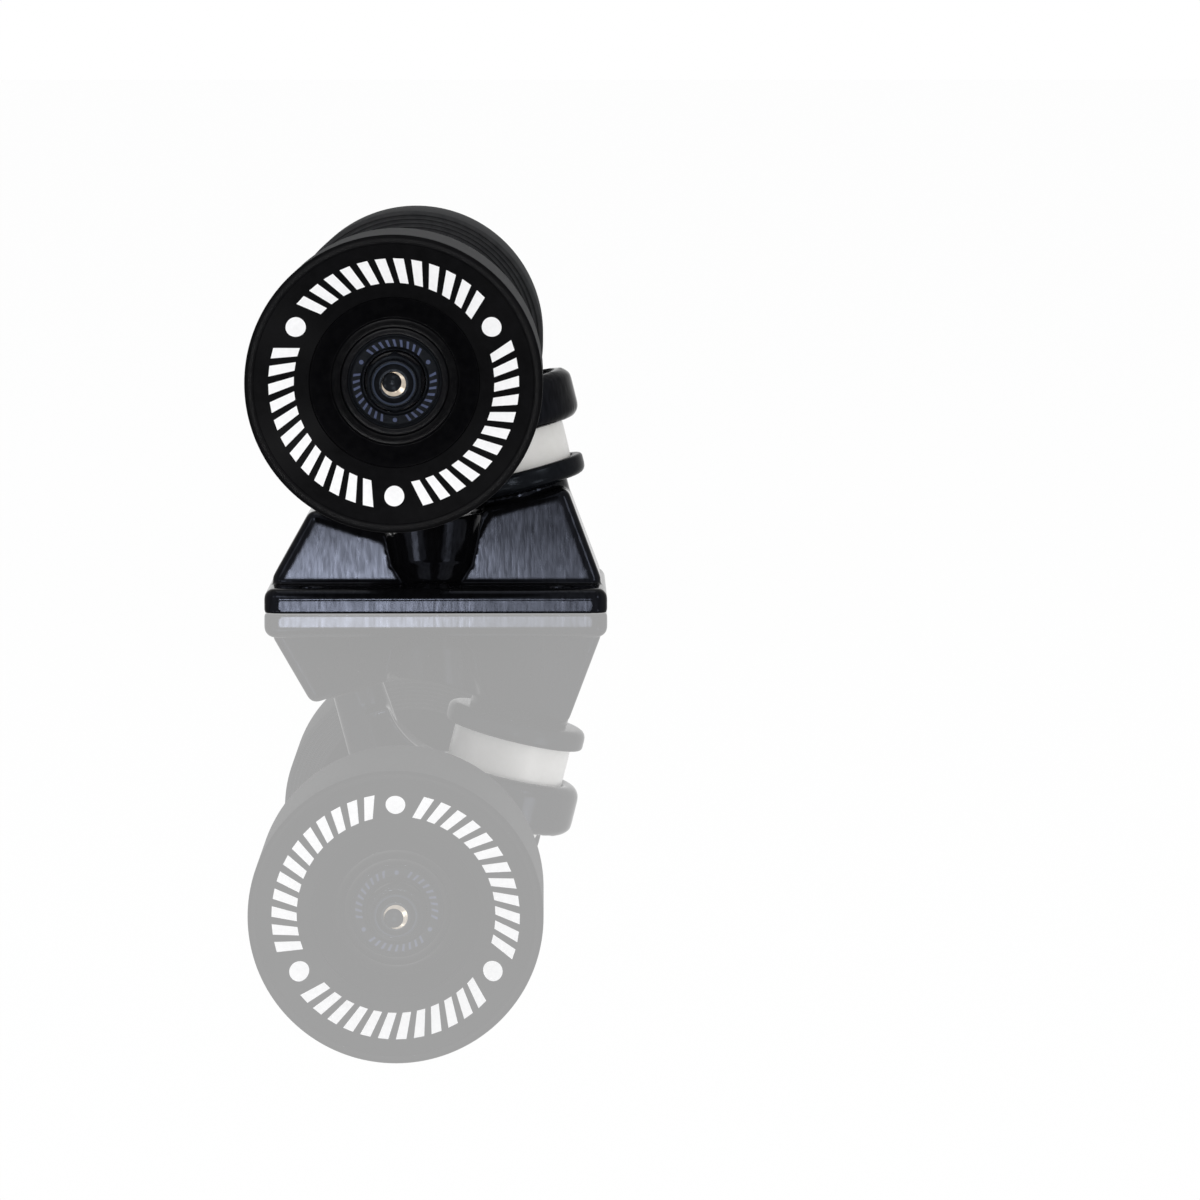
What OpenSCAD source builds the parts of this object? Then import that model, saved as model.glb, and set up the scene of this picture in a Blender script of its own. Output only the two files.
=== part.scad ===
// Skateboard truck with wheels: a cast, two-bushing truck that stands on its baseplate, wheels up.
// Millimetres. The origin is the centre of the deck bolt pattern on the underside of the baseplate.
// +Z points away from the deck, +X towards the kingpin, and the axle lies along Y.
// Seen from the kingpin side, left is -Y and right is +Y.

/* [Deck plate] */
// Length of the plate along the board
plate_length = 74; // [70:0.5:84]
// Width of the plate across the board
plate_width = 54; // [52:0.5:62]
// Thickness of the plate
plate_thickness = 5.2; // [4.5:0.1:7]
// Radius of the plate's corners, seen from above
plate_corner_r = 3.2; // [3:0.1:7]
// Radius of the plate's upper edge
plate_edge_r = 2.2; // [0.6:0.1:2.8]
// Spacing of the deck bolts along the board
bolt_spacing_x = 53.98; // [50:0.01:58]
// Spacing of the deck bolts across the board
bolt_spacing_y = 41.28; // [40:0.01:44]
// Diameter of the deck bolt holes
bolt_hole_d = 5.5; // [4.8:0.1:6]

/* [Housings] */
// Width of both housings where they meet the plate
housing_width = 28; // [26:0.5:30]
// Lean of the housings' side walls
housing_draft = 6; // [2:0.5:8]
// Radius of the housings' edges
housing_edge_r = 2.2; // [1.2:0.1:3]
// Distance from the plate's ends to the housings' feet
housing_inset = 1.3; // [0.4:0.1:3]
// Height of the upright foot at the housings' outer ends, above the plate
housing_foot_h = 0.8; // [0.2:0.1:2]
// Seat length of the pivot housing, from the pivot axis to the plate's end
pivot_seat_back = 10.4; // [9.5:0.1:12]
// Seat length of the pivot housing, from the pivot axis to the saddle
pivot_seat_front = 9.4; // [9:0.1:11]
// Seat length of the kingpin housing, from the kingpin to the saddle
kingpin_seat_back = 8.9; // [8:0.1:10]
// Seat length of the kingpin housing, from the kingpin to the plate's end
kingpin_seat_front = 10.9; // [9.5:0.1:12]
// Gap between the feet of the two housings, inside the hollows
foot_gap = 2; // [1:0.1:4]
// Middle of the saddle between the two housings, along X
saddle_x = -1.1; // [-2:0.1:0]
// Width of the saddle inside the housings
saddle_width = 24; // [20:0.5:24]
// Width of the saddle at its narrowest, on the plate
saddle_waist = 17; // [15:0.5:19]
// Distance from the saddle's middle to its low end at the pivot housing
saddle_reach = 7.6; // [6:0.1:9]
// Height of the saddle at its low end
saddle_height = 16; // [12:0.1:17]
// Height of the saddle's crown, at its middle
saddle_crown = 17.2; // [14:0.1:18]
// Radius of the hollows beside the saddle, on the plate
hollow_r = 6; // [5:0.1:8]
// Height of the flared foot of the hollows
hollow_foot_h = 4; // [2:0.1:6]
// Flare of the hollows' foot
hollow_foot_flare = 34; // [25:1:40]
// Flare of the hollows above their foot
hollow_flare = 13; // [5:1:16]

/* [Kingpin] */
// Kingpin seat centre along X
kingpin_x = 18; // [17:0.1:20]
// Kingpin seat centre above the deck
kingpin_z = 23.5; // [22:0.1:26]
// Lean of the kingpin towards the pivot
kingpin_tilt = 14; // [10:0.5:16]
// Kingpin diameter
kingpin_d = 9.5; // [8:0.1:10]
// Width across flats of the kingpin's head and nut
kingpin_af = 14.3; // [13:0.1:15]
// Height of the kingpin's head
kingpin_head_h = 5.5; // [4:0.1:7]
// Depth of the kingpin's head below its seat on the housing
kingpin_grip = 10; // [8:0.1:12]
// Height of the kingpin's nut
kingpin_nut_h = 7; // [6:0.1:8]
// Height of the nut's hexagon, below the collar
kingpin_nut_hex_h = 4.8; // [4:0.1:5.4]
// Length of kingpin that stands out of its nut
kingpin_stickout = 3.5; // [1.2:0.1:5]
// Chamfer of the kingpin's end
kingpin_chamfer = 1; // [0.5:0.1:1.5]
// Height of the raised boss under the lower washer
seat_boss_h = 1.5; // [0.5:0.1:3]
// Diameter of the raised boss under the lower washer
seat_boss_d = 22; // [18:0.5:24]

/* [Bushings and washers] */
// Diameter of the deck-side bushing
deck_bushing_d = 25.7; // [22:0.1:27]
// Height of the deck-side bushing
deck_bushing_h = 14; // [12:0.1:16]
// Diameter of the road-side bushing at its seat
road_bushing_d = 23.2; // [20:0.1:23.4]
// Diameter of the road-side bushing at its washer
road_bushing_top_d = 17; // [15:0.1:18]
// Height of the road-side bushing
road_bushing_h = 10; // [8:0.1:12]
// Thickness of the lower cup washer's floor
lower_washer_t = 1.7; // [1.2:0.1:2.5]
// Height of the lower cup washer's rim
lower_washer_rim_h = 4.4; // [3.4:0.1:5.5]
// Width of the lower cup washer's rim
lower_washer_rim_w = 2.35; // [1.5:0.05:3]
// Radius of the lower cup washer's rounded underside
lower_washer_round = 3; // [1.5:0.1:3]
// Chamfer of the lower cup washer's rim
lower_washer_chamfer = 0.4; // [0.2:0.1:0.8]
// Diameter of the upper washer
upper_washer_d = 18; // [17:0.1:18.6]
// Thickness of the upper washer
upper_washer_t = 2; // [1.2:0.1:3]

/* [Pivot] */
// Centre of the pivot ball along X
pivot_x = -19.4; // [-21:0.1:-18]
// Centre of the pivot ball above the deck
pivot_z = 13.5; // [13:0.1:15]
// Radius of the pivot ball
pivot_ball_r = 5.9; // [5:0.1:6.2]
// Distance from the pivot ball's centre to the housing's seat
pivot_rise = 5; // [4:0.1:6]
// Wall of the pivot cup around and below the ball
pivot_cup_wall = 1.6; // [1.2:0.1:2]
// Flare of the pivot cup's mouth, which lets the stem swing
pivot_cup_flare = 0.95; // [0.8:0.05:1.2]
// Height of the pivot cup's rim above the housing
pivot_cup_rim_h = 0.8; // [0.4:0.1:1.5]
// Width of the flat on top of the pivot cup's rim
pivot_cup_lip = 0.6; // [0.3:0.1:1.2]

/* [Hanger] */
// Width of the hanger between its wheel faces
hanger_width = 136.4; // [125:0.1:150]
// Axle centre along X
axle_x = -6.8; // [-9:0.1:-6]
// Axle centre above the deck
axle_z = 54; // [53:0.1:58]
// Radius of the axle beam at the middle
beam_root_r = 9.5; // [8.5:0.1:11]
// Radius of the axle beam at its ends
beam_end_r = 8; // [7:0.1:9]
// Length of the turned boss at each end of the beam
beam_boss_l = 3; // [1.5:0.1:6]
// Radius of the turned boss at each end of the beam
beam_boss_r = 7; // [6:0.1:7.4]
// Drop of the wings' lower edge below the axle
wing_drop = 16.5; // [14:0.1:18]
// Radius of the wings' lower edge
wing_edge_r = 5.5; // [4:0.1:7]
// Stem radius at the pivot ball
stem_r = 5.5; // [4.6:0.1:5.7]
// Stem radius at the axle beam
stem_root_r = 7.5; // [6.5:0.1:9]
// Half the width of the yoke between the beam and the ring
yoke_half = 14.5; // [12:0.1:16]
// Height of the yoke behind the ring
yoke_h = 7; // [5:0.1:7.4]
// Radius of the yoke's corners behind the ring
yoke_corner_r = 5; // [4:0.1:6]
// Half the spacing of the wings' lower corners
wing_corner_y = 9.5; // [6:0.1:14]
// Wall of the ring around the deck-side bushing
ring_wall = 4.15; // [3:0.05:5]
// Thickness of the ring between the two bushings
ring_web = 4.8; // [4:0.1:7]
// Depth of the deck-side bushing's seat in the ring
ring_lower_recess = 3.2; // [2:0.1:4.5]
// Depth of the road-side bushing's seat in the ring
ring_upper_recess = 3; // [2:0.1:4]
// Chamfer of the ring's edges
ring_chamfer = 1.6; // [0.8:0.1:2.2]
// Radius of the throat between the stem and the ring
throat_r = 18; // [12:0.5:22]
// Depth of the throat's end inside the ring
throat_sink = 0.3; // [0.2:0.1:0.6]
// Width of the throat web
throat_width = 15; // [10:0.5:20]

/* [Axle and nuts] */
// Length of axle that stands out of its nut
axle_stickout = 0.8; // [0.4:0.1:4]
// Chamfer of the axle's ends
axle_chamfer = 1; // [0.4:0.1:1.5]
// Radius of the centre-drilled dimple in the axle's ends
axle_dimple_r = 2; // [0.6:0.1:2.4]
// Depth of the dimple
axle_dimple_depth = 1; // [0.5:0.1:1.5]
// Width across flats of the axle nuts
axle_nut_af = 10.8; // [10.6:0.1:13.5]
// Height of the axle nuts
axle_nut_h = 7; // [6:0.1:8]
// Height of the axle nuts' hexagon, below the collar
axle_nut_hex_h = 4.8; // [4:0.1:5.4]
// Step from the nuts' flats in to their collar
nut_collar_step = 0.4; // [0.2:0.1:0.5]
// Radius of the collar's rounded edge, across the nut
nut_collar_round = 0.5; // [0.2:0.1:0.5]
// Height of the chamfers on the nuts' corners
nut_chamfer = 1; // [0.5:0.1:1.5]
// Width of the nuts' nylon rings
nut_insert_w = 0.4; // [0.2:0.05:0.5]
// Depth of the nylon rings below the nuts' collars
nut_insert_drop = 0.4; // [0.2:0.1:0.8]
// Thickness of the speed washers
speed_washer_t = 0.8; // [0.5:0.1:1.2]
// Width of the speed washers' ring
speed_washer_w = 1.6; // [1:0.1:1.8]

/* [Bearings] */
// Outer diameter of the bearings
bearing_od = 22; // [21:0.1:24]
// Bore of the bearings
bearing_bore = 8; // [7:0.1:8.5]
// Width of the bearings
bearing_w = 7; // [6.4:0.1:8]
// Diameter of the balls
ball_d = 3.97; // [3.4:0.01:4.1]
// Balls in each bearing
ball_count = 7; // [6:1:8]
// Wall of the bearing races at their shoulders
race_wall = 2.05; // [1.8:0.05:2.2]
// Thickness of the bearing shields
shield_t = 0.5; // [0.3:0.05:0.6]
// Step in the outer race that holds the shield, on the radius
shield_seat = 0.6; // [0.3:0.05:0.8]
// Width of the cages' ring
cage_w = 1.6; // [1:0.1:1.8]
// Reach of the cages' fingers past the balls' centres
cage_reach = 1.2; // [0.6:0.1:1.5]
// Length of the spacer between the two bearings of a wheel
spacer_length = 10; // [8:0.1:12]
// Wall of the spacer
spacer_wall = 1.2; // [0.8:0.1:1.9]

/* [Wheels] */
// Diameter of the wheels
tyre_d = 60; // [56:0.5:66]
// Width of the wheels
tyre_w = 44; // [40:0.5:50]
// Height of the tread's rounded shoulder, across the wheel
shoulder_w = 1.2; // [0.8:0.1:7]
// Depth of the tread's rounded shoulder, along the radius
shoulder_h = 0.8; // [0.6:0.1:4]
// Width of the rounded lip inside the shoulder
lip_w = 1.2; // [0.8:0.1:3]
// Height of the lip above the printed face
lip_h = 1; // [0.8:0.1:2]
// Depth of the wheel's printed face at its inner edge, below the lip
face_depth = 6; // [4:0.1:7]
// Width of the core's hub ring around the bearing
hub_ring_w = 2; // [1.5:0.1:3]
// Width of the core's cone outside the hub ring
core_cone_w = 4.2; // [3:0.1:5]
// Height of the hub ring beyond the bearing's face
hub_ring_proud = 0.7; // [0.3:0.1:1.2]
// Step from the tyre's face down to the core's edge
core_step = 0.4; // [0.2:0.1:1]
// Chamfer of the hub ring's edges
hub_ring_chamfer = 0.3; // [0.1:0.1:0.6]

/* [Clearances] */
// Clearance between the axle and the bearings' bores, on the radius
axle_clearance = 0.03; // [0.01:0.01:0.1]
// Clearance between the balls and their races
ball_clearance = 0.04; // [0.02:0.01:0.1]
// Clearance between the balls and their cage
cage_clearance = 0.1; // [0.05:0.01:0.2]
// Clearance between the pivot ball and its cup
pivot_clearance = 0.05; // [0.02:0.01:0.1]
// Clearance around the bushings, and between the kingpin and what slides on it
bushing_clearance = 0.3; // [0.2:0.05:0.5]
// Room between the kingpin and the hanger's ring, on the radius
ring_hole_room = 2.75; // [2:0.05:3.5]
// Room around the upper washer in the hanger
relief_room = 2; // [1.6:0.1:2.2]
// Sideways room for the kingpin's nut when the hanger leans
relief_spread = 4; // [3:0.1:5]
// Room around the kingpin's head in its pocket
head_room = 0.4; // [0.2:0.1:0.8]
// Room between a bearing shield and the inner race
shield_room = 0.2; // [0.1:0.05:0.3]

/* [Hidden] */
$fn = 96;
hull_fn = 32;
arc_steps = 10;
sides = [-1, 1];
through = 200;
over = 1;
overlap = 0.1;
cast_black = "#1d1e20";
urethane_black = "#16171a";
core_black = "#0f1012";
steel = "#c9c5bd";
dark_steel = "#24262a";
nylon = "#3a4a66";
bushing_white = "#efede6";

// Stack along the axle, from the hanger's wheel face outwards
hanger_face_y = hanger_width / 2;
inboard_y = hanger_face_y + speed_washer_t + bearing_w / 2;
outboard_y = inboard_y + bearing_w + spacer_length;
wheel_y = (inboard_y + outboard_y) / 2;
outer_washer_y = outboard_y + bearing_w / 2;
axle_nut_y = outer_washer_y + speed_washer_t;
axle_end_y = axle_nut_y + axle_nut_h + axle_stickout;

// Stack along the kingpin, from its seat on the housing upwards
deck_bushing_t = seat_boss_h + lower_washer_t;
ring_lower_seat = deck_bushing_t + deck_bushing_h;
ring_bottom = ring_lower_seat - ring_lower_recess;
ring_upper_seat = ring_lower_seat + ring_web;
ring_top = ring_upper_seat + ring_upper_recess;
upper_washer_at = ring_upper_seat + road_bushing_h;
kingpin_nut_at = upper_washer_at + upper_washer_t;
kingpin_end = kingpin_nut_at + kingpin_nut_h + kingpin_stickout;

// Radii that more than one piece shares
axle_r = bearing_bore / 2 - axle_clearance;
bearing_r = bearing_od / 2;
pitch_r = (bearing_od + bearing_bore) / 4;
ball_r = ball_d / 2;
inner_shoulder_r = bearing_bore / 2 + race_wall;
outer_shoulder_r = bearing_r - race_wall;
shield_r = outer_shoulder_r + shield_seat;
hub_ring_r = bearing_r + hub_ring_w;
core_r = hub_ring_r + core_cone_w;
tyre_r = tyre_d / 2;
lip_r = tyre_r - shoulder_h;
kingpin_r = kingpin_d / 2;
slide_r = kingpin_r + bushing_clearance;
ring_r = deck_bushing_d / 2 + bushing_clearance + ring_wall;
pivot_cup_r = pivot_ball_r + pivot_clearance + pivot_cup_flare + pivot_cup_wall;
relief_r = upper_washer_d / 2 + relief_room;
half_wheel = tyre_w / 2;
hub_face = spacer_length / 2 + bearing_w + hub_ring_proud;

// The stem points from the pivot ball at the axle, and the pivot housing's seat is square to it
stem_tilt = atan2(axle_x - pivot_x, axle_z - pivot_z);
stem_length = norm([axle_x - pivot_x, axle_z - pivot_z]);

// A point in the XZ plane, u along the seat and t up the stem or the kingpin
function on_stem_xz(u, t) = [
    pivot_x + t * sin(stem_tilt) + u * cos(stem_tilt),
    pivot_z + t * cos(stem_tilt) - u * sin(stem_tilt)
];
function on_kingpin_xz(u, t) = [
    kingpin_x - t * sin(kingpin_tilt) + u * cos(kingpin_tilt),
    kingpin_z + t * cos(kingpin_tilt) + u * sin(kingpin_tilt)
];

// Half the width of the housings at a height above the deck
function housing_half(z) = housing_width / 2 - (z - plate_thickness) * tan(housing_draft);

// Points of an elliptical arc
function arc(cx, cy, rx, ry, from, to) = [
    for (i = [0 : arc_steps])
        let (a = from + (to - from) * i / arc_steps)
            [cx + rx * cos(a), cy + ry * sin(a)]
];

module on_stem(t) {
    translate([pivot_x, 0, pivot_z]) rotate([0, stem_tilt, 0]) translate([0, 0, t]) children();
}

module on_kingpin(t) {
    translate([kingpin_x, 0, kingpin_z]) rotate([0, -kingpin_tilt, 0]) translate([0, 0, t]) children();
}

// Local +Z points outwards along the axle
module on_axle(side, y) {
    translate([axle_x, side * y, axle_z]) rotate([-90 * side, 0, 0]) children();
}

// Local +Z points to the face of the bearing that shows
module on_bearing(side, outboard) {
    if (outboard) on_axle(side, outboard_y) children();
    else on_axle(side, inboard_y) rotate([180, 0, 0]) children();
}

// A profile in the XZ plane, given its width along Y
module across(width) {
    rotate([90, 0, 0]) linear_extrude(width, center = true) children();
}

module ring(outer_r, inner_r, h) {
    difference() {
        cylinder(r = outer_r, h = h);
        translate([0, 0, -over]) cylinder(r = inner_r, h = h + 2 * over);
    }
}

// Hexagon nut with a rounded collar, and a groove for its nylon ring
module lock_nut(af, h, hex_h, bore_r) {
    corner_r = af / sqrt(3);
    collar_r = af / 2 - nut_collar_step;
    lip = collar_r - nut_collar_round;
    difference() {
        union() {
            intersection() {
                rotate(30) cylinder(r = corner_r, h = hex_h, $fn = 6);
                rotate_extrude() polygon([
                    [0, 0],
                    [af / 2, 0],
                    [corner_r + overlap, nut_chamfer],
                    [corner_r + overlap, hex_h - nut_chamfer],
                    [af / 2, hex_h],
                    [0, hex_h]
                ]);
            }
            rotate_extrude() polygon(concat(
                [[0, hex_h / 2], [collar_r, hex_h / 2]],
                arc(lip, hex_h, nut_collar_round, h - hex_h, 0, 90),
                [[0, h]]
            ));
        }
        translate([0, 0, -over]) cylinder(r = bore_r, h = h + 2 * over);
        translate([0, 0, hex_h]) cylinder(r = bore_r + nut_insert_w, h = h);
    }
}

module lock_nut_insert(h, hex_h, bore_r) {
    translate([0, 0, hex_h]) ring(bore_r + nut_insert_w, bore_r, h - hex_h - nut_insert_drop);
}

// Block with round edges through the given edge centres, narrowing upwards
module housing_block(centres) {
    hull()
        for (c = centres, s = sides)
            translate([c[0], s * (housing_half(c[1]) - housing_edge_r), c[1]])
                sphere(housing_edge_r, $fn = hull_fn);
}

module plate_blank() {
    corner_x = plate_length / 2 - plate_corner_r;
    corner_y = plate_width / 2 - plate_corner_r;
    straight = plate_thickness - plate_edge_r;
    translate([-plate_length / 2, -corner_y, 0]) cube([plate_length, 2 * corner_y, straight]);
    translate([-corner_x, -plate_width / 2, 0]) cube([2 * corner_x, plate_width, straight]);
    for (x = [-corner_x, corner_x], y = [-corner_y, corner_y])
        translate([x, y, 0]) cylinder(r = plate_corner_r, h = straight);
    hull()
        for (x = [-corner_x, corner_x], y = [-corner_y, corner_y])
            translate([x, y, straight])
                rotate_extrude($fn = hull_fn) polygon(concat(
                    [[0, 0]],
                    arc(plate_corner_r - plate_edge_r, 0, plate_edge_r, plate_edge_r, 0, 90),
                    [[0, plate_edge_r]]
                ));
}

// Bridge between the two housings
module saddle(foot_z) {
    across(saddle_width) polygon([
        [pivot_x, foot_z],
        [saddle_x - saddle_reach, saddle_height],
        [saddle_x, saddle_crown],
        on_kingpin_xz(-kingpin_seat_back, -housing_edge_r / 2),
        [kingpin_x, foot_z]
    ]);
}

// Turned hollow that parts the side walls of the two housings
module saddle_hollow() {
    knee_z = plate_thickness + hollow_foot_h;
    knee_r = hollow_r + hollow_foot_h * tan(hollow_foot_flare);
    rotate_extrude() polygon([
        [0, 0],
        [hollow_r - plate_thickness * tan(hollow_foot_flare), 0],
        [knee_r, knee_z],
        [knee_r + (kingpin_z - knee_z) * tan(hollow_flare), kingpin_z],
        [0, kingpin_z]
    ]);
}

module baseplate() {
    r = housing_edge_r;
    foot_z = plate_thickness - r;
    foot_top = plate_thickness + housing_foot_h;
    end_x = plate_length / 2 - housing_inset;
    pocket_r = kingpin_af / sqrt(3) + head_room;
    cup_floor = pivot_ball_r + pivot_clearance + pivot_cup_wall;
    color(cast_black) difference() {
        union() {
            plate_blank();
            difference() {
                union() {
                    housing_block([
                        [-end_x + r, foot_z],
                        [-end_x + r, foot_top],
                        on_stem_xz(r - pivot_seat_back, pivot_rise - r),
                        on_stem_xz(pivot_seat_front - r, pivot_rise - r),
                        [saddle_x - foot_gap / 2 - r, foot_z]
                    ]);
                    housing_block([
                        [saddle_x + foot_gap / 2 + r, foot_z],
                        on_kingpin_xz(r - kingpin_seat_back, -r),
                        on_kingpin_xz(kingpin_seat_front - r, -r),
                        [end_x - r, foot_top],
                        [end_x - r, foot_z]
                    ]);
                    saddle(foot_z);
                }
                for (s = sides)
                    translate([saddle_x, s * (saddle_waist / 2 + hollow_r), 0]) saddle_hollow();
            }
            on_kingpin(-r) cylinder(d = seat_boss_d, h = r + seat_boss_h);
        }
        for (x = sides, y = sides)
            translate([x * bolt_spacing_x / 2, y * bolt_spacing_y / 2, -over])
                cylinder(d = bolt_hole_d, h = plate_thickness + 2 * over);
        on_kingpin(-kingpin_grip - over) cylinder(r = kingpin_r, h = through);
        on_kingpin(-kingpin_grip - through) cylinder(r = pocket_r, h = through);
        on_stem(-cup_floor) cylinder(r = pivot_cup_r, h = through);
    }
}

module pivot_cup() {
    socket_r = pivot_ball_r + pivot_clearance;
    floor_t = socket_r + pivot_cup_wall;
    mouth_r = socket_r + pivot_cup_flare;
    color(urethane_black) on_stem(0) difference() {
        union() {
            translate([0, 0, -floor_t]) cylinder(r = pivot_cup_r, h = floor_t + pivot_rise);
            translate([0, 0, pivot_rise])
                cylinder(
                    r1 = pivot_cup_r + pivot_cup_rim_h,
                    r2 = mouth_r + pivot_cup_lip,
                    h = pivot_cup_rim_h
                );
        }
        sphere(socket_r);
        cylinder(r1 = socket_r, r2 = mouth_r, h = pivot_rise + pivot_cup_rim_h + overlap);
    }
}

module kingpin() {
    shank = kingpin_grip + kingpin_end - kingpin_chamfer;
    color(dark_steel) on_kingpin(-kingpin_grip) {
        translate([0, 0, -kingpin_head_h])
            intersection() {
                cylinder(r = kingpin_af / sqrt(3), h = kingpin_head_h, $fn = 6);
                cylinder(r1 = kingpin_af / 2, r2 = kingpin_af / 2 + kingpin_head_h, h = kingpin_head_h);
            }
        cylinder(r = kingpin_r, h = shank);
        translate([0, 0, shank])
            cylinder(r1 = kingpin_r, r2 = kingpin_r - kingpin_chamfer, h = kingpin_chamfer);
    }
}

module lower_cup_washer() {
    bushing_r = deck_bushing_d / 2 + bushing_clearance;
    rim_r = bushing_r + lower_washer_rim_w;
    round_r = lower_washer_round;
    color(dark_steel) on_kingpin(seat_boss_h) rotate_extrude() polygon(concat(
        [[slide_r, 0]],
        arc(rim_r - round_r, round_r, round_r, round_r, -90, 0),
        [
            [rim_r, lower_washer_rim_h - lower_washer_chamfer],
            [rim_r - lower_washer_chamfer, lower_washer_rim_h],
            [bushing_r, lower_washer_rim_h],
            [bushing_r, lower_washer_t],
            [slide_r, lower_washer_t]
        ]
    ));
}

module deck_bushing() {
    color(bushing_white) on_kingpin(deck_bushing_t)
        ring(deck_bushing_d / 2, slide_r, deck_bushing_h);
}

module road_bushing() {
    color(bushing_white) on_kingpin(ring_upper_seat) difference() {
        cylinder(d1 = road_bushing_d, d2 = road_bushing_top_d, h = road_bushing_h);
        translate([0, 0, -over]) cylinder(r = slide_r, h = road_bushing_h + 2 * over);
    }
}

module upper_washer() {
    color(dark_steel) on_kingpin(upper_washer_at) difference() {
        union() {
            cylinder(d = upper_washer_d, h = upper_washer_t / 2);
            translate([0, 0, upper_washer_t / 2])
                cylinder(d1 = upper_washer_d, d2 = upper_washer_d - upper_washer_t, h = upper_washer_t / 2);
        }
        translate([0, 0, -over]) cylinder(r = slide_r, h = upper_washer_t + 2 * over);
    }
}

module kingpin_nut() {
    color(dark_steel) on_kingpin(kingpin_nut_at)
        lock_nut(kingpin_af, kingpin_nut_h, kingpin_nut_hex_h, kingpin_r);
}

module kingpin_nut_insert() {
    color(nylon) on_kingpin(kingpin_nut_at)
        lock_nut_insert(kingpin_nut_h, kingpin_nut_hex_h, kingpin_r);
}

// Beam that carries the axle: two wings that deepen towards the middle
module hanger_wings() {
    edge_z = axle_z - wing_drop + wing_edge_r;
    taper = hanger_face_y - beam_boss_l;
    hull() {
        on_axle(1, -taper) cylinder(r = beam_end_r, h = 2 * taper, $fn = hull_fn);
        on_axle(1, -wing_corner_y) cylinder(r = beam_root_r, h = 2 * wing_corner_y, $fn = hull_fn);
        for (s = sides)
            translate([axle_x, s * wing_corner_y, edge_z]) sphere(wing_edge_r, $fn = hull_fn);
    }
    on_axle(1, -hanger_face_y) cylinder(r = beam_boss_r, h = hanger_width);
}

// Body between the beam and the back of the ring
module hanger_yoke() {
    corner_y = yoke_half - yoke_corner_r;
    hull() {
        on_axle(1, -corner_y) cylinder(r = stem_root_r, h = 2 * corner_y, $fn = hull_fn);
        for (s = sides)
            on_kingpin((ring_bottom + ring_top - yoke_h) / 2)
                translate([yoke_corner_r - ring_r + over, s * corner_y, 0])
                    cylinder(r = yoke_corner_r, h = yoke_h, $fn = hull_fn);
    }
}

// Fillet in the corner between the stem's side and the ring's lower face
module hanger_throat() {
    opening = 90 + stem_tilt + kingpin_tilt;
    reach = throat_r / tan(opening / 2);
    stem_side = on_stem_xz(stem_r, 0);
    ring_face = on_kingpin_xz(0, ring_bottom + throat_sink);
    gap = ring_face - stem_side;
    climb = (gap[0] * sin(kingpin_tilt) - gap[1] * cos(kingpin_tilt))
        / (sin(stem_tilt) * sin(kingpin_tilt) - cos(stem_tilt) * cos(kingpin_tilt));
    corner = stem_side + climb * [sin(stem_tilt), cos(stem_tilt)];
    low = corner - reach * [sin(stem_tilt), cos(stem_tilt)];
    far = corner + reach * [cos(kingpin_tilt), sin(kingpin_tilt)];
    centre = low + throat_r * [cos(stem_tilt), -sin(stem_tilt)];
    difference() {
        across(throat_width) polygon([
            low, centre, far,
            far + 2 * over * [-sin(kingpin_tilt), cos(kingpin_tilt)],
            [axle_x, axle_z],
            low - stem_r * [cos(stem_tilt), -sin(stem_tilt)]
        ]);
        translate([centre[0], 0, centre[1]]) rotate([90, 0, 0])
            cylinder(r = throat_r, h = throat_width + 2 * over, center = true);
    }
}

module hanger() {
    color(cast_black) difference() {
        union() {
            hanger_wings();
            hanger_yoke();
            hanger_throat();
            on_stem(0) {
                sphere(pivot_ball_r);
                cylinder(r1 = stem_r, r2 = stem_root_r, h = stem_length);
            }
            on_kingpin(ring_bottom) rotate_extrude() polygon([
                [0, 0],
                [ring_r - ring_chamfer, 0],
                [ring_r, ring_chamfer],
                [ring_r, ring_top - ring_bottom - ring_chamfer],
                [ring_r - ring_chamfer, ring_top - ring_bottom],
                [0, ring_top - ring_bottom]
            ]);
        }
        on_axle(1, -hanger_width) cylinder(r = axle_r, h = 2 * hanger_width);
        on_kingpin(0) cylinder(r = kingpin_r + ring_hole_room, h = through);
        on_kingpin(0) cylinder(r = deck_bushing_d / 2 + bushing_clearance, h = ring_lower_seat);
        on_kingpin(ring_upper_seat)
            cylinder(r = road_bushing_d / 2 + bushing_clearance, h = ring_upper_recess);
        on_kingpin(ring_top) linear_extrude(through) polygon(concat(
            arc(0, relief_spread, relief_r, relief_r, 0, 90),
            arc(0, relief_spread, relief_r, relief_r, 90, 180),
            arc(0, -relief_spread, relief_r, relief_r, 180, 270),
            arc(0, -relief_spread, relief_r, relief_r, 270, 360)
        ));
    }
}

module axle() {
    color(steel) difference() {
        union() {
            on_axle(1, -axle_end_y + axle_chamfer)
                cylinder(r = axle_r, h = 2 * (axle_end_y - axle_chamfer));
            for (s = sides)
                on_axle(s, axle_end_y - axle_chamfer)
                    cylinder(r1 = axle_r, r2 = axle_r - axle_chamfer, h = axle_chamfer);
        }
        for (s = sides)
            on_axle(s, axle_end_y - axle_dimple_depth)
                cylinder(r1 = 0, r2 = axle_dimple_r, h = axle_dimple_depth + overlap);
    }
}

module inner_speed_washer(side) {
    color(steel) on_axle(side, hanger_face_y)
        ring(bearing_bore / 2 + speed_washer_w, bearing_bore / 2, speed_washer_t);
}

module outer_speed_washer(side) {
    color(steel) on_axle(side, outer_washer_y)
        ring(bearing_bore / 2 + speed_washer_w, bearing_bore / 2, speed_washer_t);
}

module axle_nut(side) {
    color(dark_steel) on_axle(side, axle_nut_y)
        lock_nut(axle_nut_af, axle_nut_h, axle_nut_hex_h, axle_r);
}

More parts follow.
